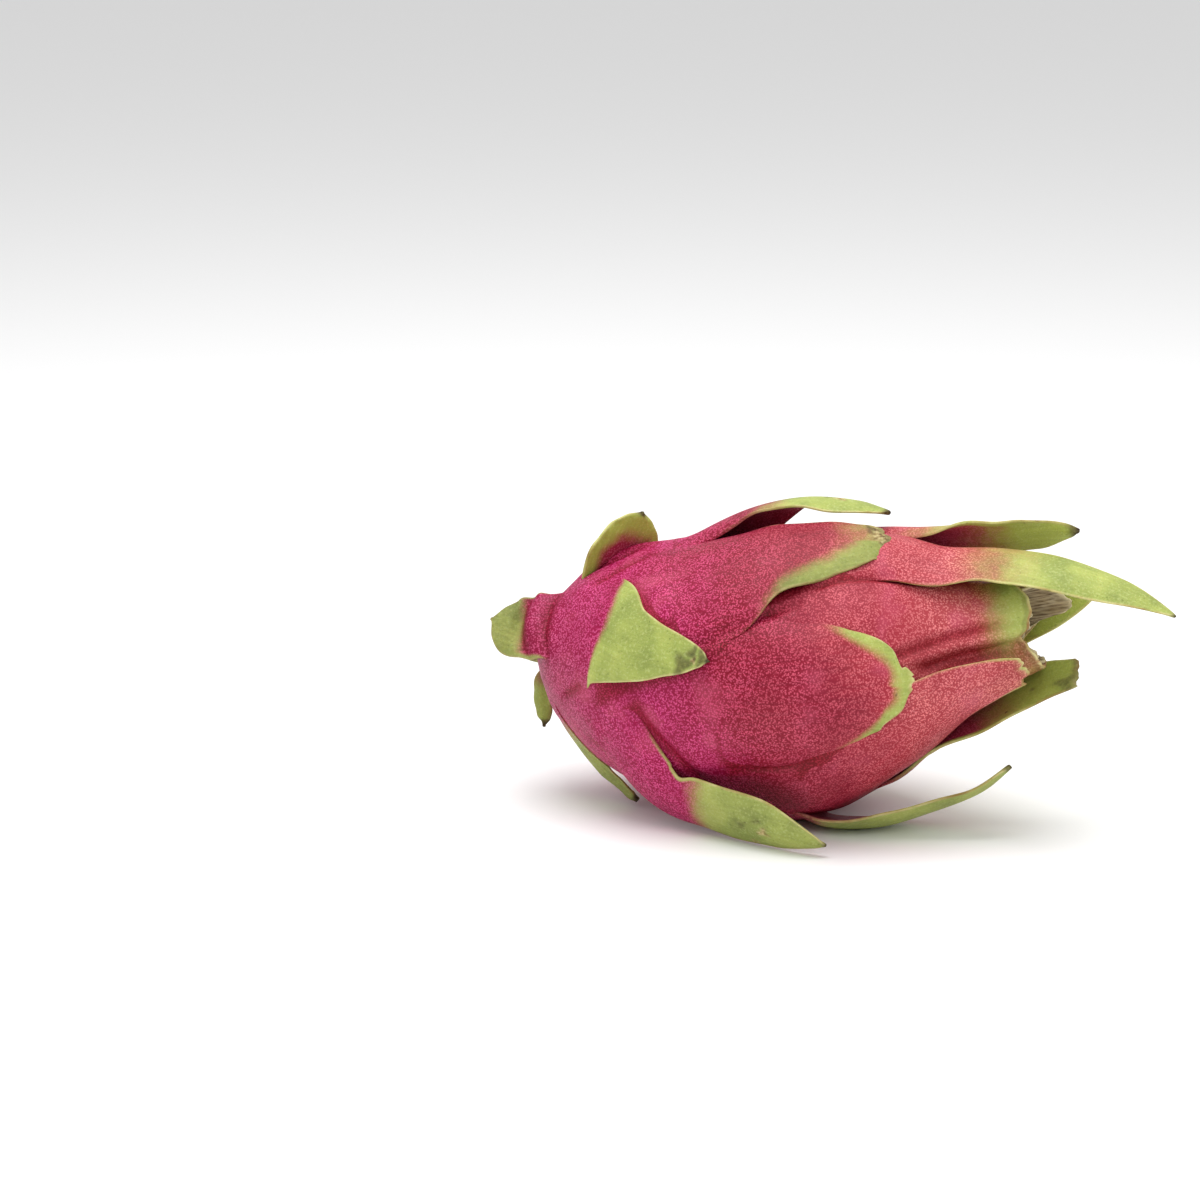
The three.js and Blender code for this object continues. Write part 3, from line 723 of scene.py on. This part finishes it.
# ---------------------------------------------------------------- round the belly
# The broadest scales, pink over most of their length with a green border. The crest one arches clear of the
# fruit, and the two lowest curve out over the table.
grow_scale(
    "belly_leaf_low", cup=14, free=(0.12, 0.25), bites=[(0.5, 1, 1.8, 2.2)], green=0.55, soft=0.07,
    band=(0, 2), band_from=0.2, aged=0.1, dry=2.0, seed=10,
    scars=[
        (0.7, -0.1, 1.3, "dead"), (0.76, 0.25, 1.2, "dead"), (0.78, -0.2, 1.5, "scab"),
        (0.74, -0.85, 0.8, "scab"),
    ],
    path=[
        (-46, -5, -2.5, 18), (-40.8, -14, 0.8, 20.5), (-32.8, -28, 2.5, 21.5), (-24.5, -40, 4.5, 20.5),
        (-11, -40, 7.5, 19), (2, -38, 11, 18), (13, -38.5, 14.6, 14), (25, -43, 19, 2),
    ],
)
grow_scale(
    "belly_leaf_top", cup=36, free=(0.32, 0.35), torn=0.8, green=0.86, soft=0.32, band=(12, 0),
    band_from=0.35, aged=0.4, dry=3.5, seed=11,
    scars=[
        (0.94, 0.4, 3.0, "scab"), (0.97, 0, 1.5, "scab"), (0.9, 0.7, 2.5, "dead"),
        (0.97, -0.5, 1.5, "dead"),
    ],
    path=[
        (-36, 53, -2.5, 46), (-26, 56, 1, 52), (-10, 62, 3, 48), (4, 68, 4.6, 30), (18, 74, 3.2, 24),
        (27, 77, 3.4, 18), (33, 79.5, 3.6, 13),
    ],
)
grow_scale(
    "belly_leaf_crest", cup=9, roll=(12, -20), free=(0.3, 0.42), green=0.52, band=(2, 0), band_from=0.38,
    inner=0.75, axil=0.35, seed=12,
    scars=[(0.8, 0.1, 1.6, "scab"), (0.74, 0.2, 1.2, "dead")],
    path=[
        (-33, 108, -2.5, 22), (-26, 106, 1, 24), (-9, 102.5, 8, 22), (5, 99.5, 11.6, 19),
        (17, 99.4, 10.6, 15), (31.5, 100.6, 8.6, 3),
    ],
)
grow_scale(
    "belly_leaf_front", cup=27, free=(0.62, 0.5), ripple=0.5, torn=0.4, bites=[(0.88, 1, 2.6, 2.6)],
    green=1.02, soft=0.14, band=(7, 9), band_from=0.42, dry=0, seed=13,
    path=[
        (-20, 8, -3, 44), (-8, 8, 0.8, 48), (6, 8.5, 2.6, 48), (20, 8, 3.4, 42), (31.5, 5.5, 3.8, 34),
        (38, 3.5, 3.7, 26), (42.3, 0, 3.5, 16), (45.4, -2, 3.4, 5),
    ],
)
grow_scale(
    "belly_leaf_back_high", cup=28, free=(0.5, 0.45), green=0.85, band=(6, 6), band_from=0.4, seed=14,
    path=[
        (-28, 152, -2.5, 42), (-17, 152, 0.6, 44), (0, 152, 2.5, 43), (16, 153, 3.5, 36), (30, 154, 4, 24),
        (42, 156, 5, 4),
    ],
)
grow_scale(
    "belly_leaf_back_low", cup=26, free=(0.45, 0.5), green=0.85, band=(6, 6), band_from=0.4, seed=15,
    path=[
        (-22, 217, -2.5, 38), (-11, 217, 0.6, 40), (4, 217, 2.4, 39), (20, 218, 3.4, 32),
        (34, 219, 3.8, 22), (46, 221, 5, 4),
    ],
)
grow_scale(
    "belly_leaf_under", cup=6, roll=(-16, -6), green=0.3, inner=0.5, axil=0.8, aged=0.15, dry=2.5, seed=16,
    path=[
        (2, -66, -2.5, 16), (11, -68.5, -0.3, 20), (20, -70.6, 4.2, 23), (34, -71.5, 12, 23),
        (48, -72, 21.4, 17), (61.8, -71.4, 28.4, 10), (70.5, -69, 27.2, 2),
    ],
)

# ---------------------------------------------------------------- round the flower tube
# The longest scales surround the mouth of the tube and reach past it. The top one arches over it to a fine
# tip.
grow_scale(
    "crown_leaf_front_low", cup=20, free=(0.35, 0.42), torn=0.8, green=1.3, band=(1, 1), band_from=0.8,
    dry=0, seed=17,
    path=[
        (4, -44, -2.5, 28), (16, -44, 0.5, 30), (32, -42, 1.2, 31), (44, -35, 3.2, 31), (52, -31, 5.2, 27),
        (62, -30, 6.6, 18), (73, -37, 6.6, 12),
    ],
)
grow_scale(
    "crown_leaf_top", cup=7, roll=(0, -10), free=(0.3, 0.2), bites=[(0.52, -1, 1.3, 6)], green=0.58,
    soft=0.2, band=(2.5, 0), band_from=0.42, dry=2.2, seed=18,
    path=[
        (8, 72, -3, 24), (18, 75, 0.8, 25), (33, 77, 3.4, 23), (48, 74, 5.8, 20), (64, 72, 9.2, 18),
        (81, 55, 3.3, 15), (97.5, 0, -2.8, 11), (113, -57, 6, 1.5),
    ],
)
grow_scale(
    "crown_leaf_crest", cup=10, roll=(16, 25), free=(0.34, 0.12), green=0.42, band=(3, 3), band_from=0.3,
    inner=0.55, axil=0.15, dry=4, seed=19,
    path=[
        (14, 122, -3, 22), (24, 118, 0.8, 24), (43, 108, 7.6, 20), (61, 113, 13.4, 15),
        (72, 116.5, 13.6, 14), (83.5, 118.6, 8.7, 2),
    ],
)
grow_scale(
    "crown_leaf_back", cup=14, torn=0.6, green=0.45, dry=0, seed=20,
    path=[
        (28, 182, -3, 24), (37, 181, 0.8, 26), (52, 180, 4.6, 26), (66, 179, 5, 20), (78, 180, 3.6, 14),
        (88, 182, 3.4, 5),
    ],
)
grow_scale(
    "crown_leaf_back_low", cup=14, seed=21,
    path=[
        (15, 234, -2.5, 28), (26, 234, 0.6, 30), (40, 235, 5, 26), (54, 236, 9, 20), (68, 237, 12, 13),
        (81, 238, 14, 2),
    ],
)
grow_scale(
    "crown_leaf_under", cup=14, roll=(-10, -28), torn=0.3, green=0.5, band=(7, 2), inner=0.62, axil=0.5,
    aged=0.25, dry=3, seed=22,
    scars=[(0.95, 0.5, 3.5, "dead"), (0.8, 0.1, 0.8, "dead")],
    path=[
        (28, -96, -3, 22), (37, -94, 0.8, 25), (48, -92, 1.4, 23), (62, -90, 8.4, 20), (74, -89, 8.3, 16),
        (86, -88, 8.6, 11),
    ],
)

# ================================================================ the dried flower
# What is left of the flower: a thin sleeve of dead petal tissue, dry as paper, that lines the mouth of the
# tube and stands out of it in a torn flap at the back. It is finely ribbed along its length.
DRY_DEPTH = 20.0
DRY_OVERTOP = 10.5  # how far the flap stands out
DRY_GAP = 0.3  # between the sleeve and the tube
DRY_THICKNESS = 0.7
DRY_RIBS = 60
DRY_STEPS = 240


def make_dried_flower():
    outer = TUBE_RADIUS - TUBE_WALL - DRY_GAP
    inner = outer - DRY_THICKNESS
    start = MOUTH_X - DRY_DEPTH
    profile = [(mix(start, MOUTH_X, i / 24), outer) for i in range(25)]
    profile += [(MOUTH_X + 0.15, 0.5 * (outer + inner))]
    profile += [(mix(MOUTH_X, start, i / 24), inner) for i in range(25)]
    bm, x, radius, around = turn_profile(profile, DRY_STEPS, closed=True)
    at_rim = ease(x, MOUTH_X - 9, MOUTH_X)
    degrees = np.degrees(around) % 360
    at_back = ease(degrees, 60, 95) * (1 - ease(degrees, 165, 208))
    ragged = 0.7 * np.sin(7 * around) + 0.35 * np.sin(16 * around + 1) + 0.2 * np.sin(37 * around)
    ribs = 0.12 * np.sin(DRY_RIBS * around)
    ribs = ribs + 0.25 * np.sin(11 * around + 0.4 * x) + 0.2 * np.sin(19 * around - 0.3 * x)
    radius = radius + ribs * (0.4 + 0.6 * at_rim) + 1.3 * ease(x, MOUTH_X - 8, MOUTH_X)
    station = x + at_rim * (DRY_OVERTOP * at_back + ragged - 0.5 + rim_shift(around))
    lean = RIM_SLANT * ease(x, MOUTH_X - 20, MOUTH_X) * radius * np.sin(around)
    places = [station - lean, -radius * np.cos(around), axis_height(x) + radius * np.sin(around)]
    frayed = 0.7 * ease(x, MOUTH_X - 1.2, MOUTH_X - 0.2)
    ribbed = 0.5 + 0.5 * np.sin(DRY_RIBS * around)
    return write_mesh("dried_flower", bm, np.stack(places, 1), frayed=frayed, ribbed=ribbed)


def dead_petal():
    """Dead petal tissue: matt, grey-brown and papery, paler along its ribs and at its torn edge."""
    material, node = start_material("Papery dead petal")
    place = node("ShaderNodeTexCoord", out="Object")
    ribs = node(mask, out="Fac", attribute_name="ribbed")
    edge = node(mask, out="Fac", attribute_name="frayed")
    drawn_out = node("ShaderNodeMapping", {"Vector": place, "Scale": (0.12, 1, 1)})
    streaks = node(noise, {"Vector": drawn_out, "Scale": 1000 / 0.9, "Detail": 4.0, "Roughness": 0.65})
    lines = node(maths, {0: ribs, 1: 0.22, 2: streaks}, operation="MULTIPLY_ADD")
    shades = [(0.38, "#6a5c48"), (0.5, "#8f8168"), (0.62, "#aea086"), (0.8, "#c6b99c")]
    petal = node(ramped, {"Fac": lines}, ramp=shades)
    patches = node(noise, {"Vector": place, "Scale": 1000 / 6, "Detail": 3.0})
    stained = node(mixed, {0: patches, 6: petal, 7: "#d6c09c"}, blend_type="MULTIPLY", **colours)
    torn = node(mixed, {0: edge, 6: stained, 7: "#d2c49c"}, **colours)
    normal = node(bump, {"Height": lines, "Strength": 0.7, "Distance": 0.0005})
    shader = node(
        "ShaderNodeBsdfPrincipled",
        {"Base Color": torn, "Roughness": 0.85, "Normal": normal, "Specular IOR Level": 0.25},
    )
    node("ShaderNodeOutputMaterial", {"Surface": shader})
    return material


dried_flower = make_dried_flower()
dried_flower.data.materials.append(dead_petal())
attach(dried_flower, "root")
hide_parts("dried_flower_tube")

# ================================================================ the stem stub
# The stub of the stem, cut off with a knife when the fruit was picked. The cut has dried: a ring of green
# bark round pale, fibrous wood.
STUB_RADIUS = 5.0
STUB_LENGTH = 4.0
WOOD_RADIUS = 4.2
STUB_STEPS = 72


def make_stub():
    end = STEM_END_X - STUB_LENGTH
    profile = [(end + 0.5, 0.0), (end + 0.45, 1.2), (end + 0.2, 2.6), (end, 3.9)]
    profile += [(end + 0.25, 4.6), (end + 0.8, 4.95)]
    profile += [(mix(end + 1.4, STEM_END_X + 3, i / 8), STUB_RADIUS) for i in range(9)]
    profile += [(STEM_END_X + 3.2, 2.5), (STEM_END_X + 3.2, 0.0)]
    bm, x, radius, around = turn_profile(profile, STUB_STEPS)
    cut = 1 - ease(x, end + 0.5, end + 2)
    radius = radius * (1 + 0.05 * np.sin(3 * around + 0.5) - 0.02 * cut)
    uneven = 0.25 * np.sin(2 * around + 1) + 0.12 * np.sin(9 * around)
    station = x + cut * uneven * (radius / STUB_RADIUS)
    places = [station, -radius * np.cos(around), axis_height(x) + radius * np.sin(around)]
    return write_mesh("cut_stem", bm, np.stack(places, 1), wood=cut * (radius < WOOD_RADIUS))


def cut_stem():
    """A dried stem cut: fibrous and matt, pale buff in the middle, with green-brown bark round it."""
    material, node = start_material("Dried stem cut")
    place = node("ShaderNodeTexCoord", out="Object")
    middle = node(mask, out="Fac", attribute_name="wood")
    fibre = node(noise, {"Vector": place, "Scale": 1000 / 0.8, "Detail": 4.0, "Roughness": 0.7})
    wood = node(ramped, {"Fac": fibre}, ramp=[(0.35, "#8d7a55"), (0.5, "#b9a97c"), (0.7, "#d3c79e")])
    bark = node(ramped, {"Fac": fibre}, ramp=[(0.35, "#6f6a3c"), (0.6, "#98945a"), (0.8, "#a98f5e")])
    cut = node(mixed, {0: middle, 6: bark, 7: wood}, **colours)
    normal = node(bump, {"Height": fibre, "Strength": 0.7, "Distance": 0.0004})
    shader = node(
        "ShaderNodeBsdfPrincipled",
        {"Base Color": cut, "Roughness": 0.8, "Normal": normal, "Specular IOR Level": 0.3},
    )
    node("ShaderNodeOutputMaterial", {"Surface": shader})
    return material


stub = make_stub()
stub.data.materials.append(cut_stem())
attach(stub, "root")
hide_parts("stem_stub")

# ================================================================ the table, the light and the camera
# A wide white table, lit by a large soft light overhead, a weaker one from the front right and a pale sky.
# The fruit lies in the right half of a square view.
TABLE_REACH = 6  # metres from its middle to its sides
bm = bmesh.new()
bmesh.ops.create_grid(bm, x_segments=1, y_segments=1, size=TABLE_REACH)
table_mesh = bpy.data.meshes.new("table")
bm.to_mesh(table_mesh)
bm.free()
table = bpy.data.objects.new("table", table_mesh)
bpy.context.scene.collection.objects.link(table)
white = bpy.data.materials.new("White table top")
white.use_nodes = True
matt = white.node_tree.nodes["Principled BSDF"]
matt.inputs["Base Color"].default_value = linear("#f4f4f4")
matt.inputs["Roughness"].default_value = 0.9
table.data.materials.append(white)

world = bpy.data.worlds.new("studio")
world.use_nodes = True
sky = world.node_tree.nodes["Background"]
sky.inputs["Color"].default_value = (1, 1, 1, 1)
sky.inputs["Strength"].default_value = 0.72
bpy.context.scene.world = world
bpy.context.scene.view_settings.view_transform = "Standard"
LIT_PLACE = (0, 0, 0.04)  # middle of the fruit


def soft_light(name, place, size, power):
    """A round softbox that shines on the fruit; its place and size are in metres, its power in watts."""
    lamp = bpy.data.lights.new(name, "AREA")
    lamp.shape, lamp.size, lamp.energy = "DISK", size, power
    holder = bpy.data.objects.new(name, lamp)
    holder.location = place
    holder.rotation_euler = (Vector(LIT_PLACE) - Vector(place)).to_track_quat("-Z", "Y").to_euler()
    bpy.context.scene.collection.objects.link(holder)


soft_light("overhead softbox", (-0.05, 0.0, 0.95), 0.9, 8)
soft_light("front softbox", (0.55, -0.85, 0.8), 0.6, 2.4)

# The camera looks a little from the right and from above.
CAMERA_AZIMUTH = math.radians(15.5)
CAMERA_ELEVATION = math.radians(14)
CAMERA_DISTANCE = 1.1
SENSOR_WIDTH = 36
VIEW_WIDTH = 0.33684  # metres that the view spans where the fruit lies
TARGET_RIGHT, TARGET_UP = -0.047719, 0.0583856  # middle of the view, from the origin
right = Vector((math.cos(CAMERA_AZIMUTH), math.sin(CAMERA_AZIMUTH), 0))
back = Vector((
    math.sin(CAMERA_AZIMUTH) * math.cos(CAMERA_ELEVATION),
    -math.cos(CAMERA_AZIMUTH) * math.cos(CAMERA_ELEVATION),
    math.sin(CAMERA_ELEVATION),
))
up = back.cross(right)
target = right * TARGET_RIGHT + up * TARGET_UP
camera = bpy.data.objects.new("camera", bpy.data.cameras.new("camera"))
camera.data.sensor_width = SENSOR_WIDTH
camera.data.lens = SENSOR_WIDTH * CAMERA_DISTANCE / VIEW_WIDTH
camera.location = target + back * CAMERA_DISTANCE
camera.rotation_euler = back.to_track_quat("Z", "Y").to_euler()
bpy.context.scene.collection.objects.link(camera)
bpy.context.scene.camera = camera
